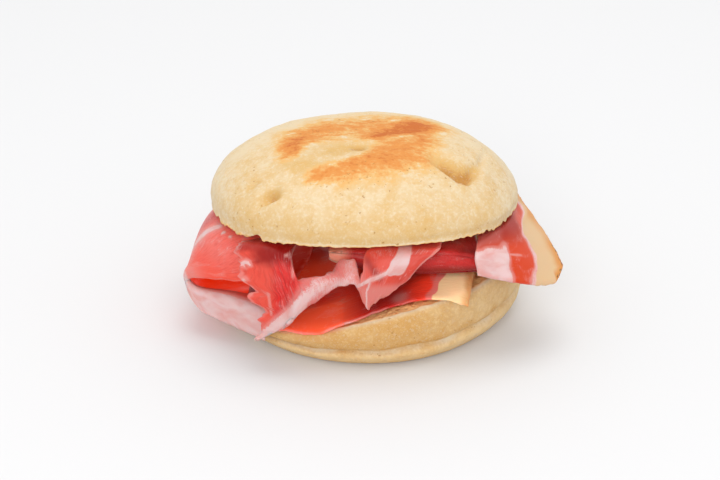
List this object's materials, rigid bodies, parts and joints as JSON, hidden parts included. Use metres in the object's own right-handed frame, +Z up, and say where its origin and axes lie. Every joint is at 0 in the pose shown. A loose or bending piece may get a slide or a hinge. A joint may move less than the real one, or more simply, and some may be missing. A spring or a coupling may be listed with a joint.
{
  "type": "mini sandwich",
  "caption": "Small round griddle bread split by hand and filled with thin folded slices of dry-cured ham that hang out at the sides and the front.",
  "frame": {"origin": "centre of the flat face that the lower half of the bread stands on", "axes": "+Z up, away from the surface it stands on; the open side with the hanging ham faces -Y; +X is to the right as seen from that side, towards the slice with the rind"},
  "size_m": [0.0927, 0.0775, 0.0472],
  "materials": {
    "bread": "matt, floury griddled bread crust: pale cream with a browned, speckled ring on top and toasted crumb at the split",
    "ham": "moist, softly glossy dry-cured lean, red to pink, with white fat seams and a cream to brown rind"
  },
  "bodies": {
    "root": {"bun_bottom": "bread", "ham_base": "ham", "ham_left": "ham", "ham_torn": "ham", "ham_right": "ham", "ham_roll": "ham", "bun_top": "bread"}
  },
  "joints": []
}
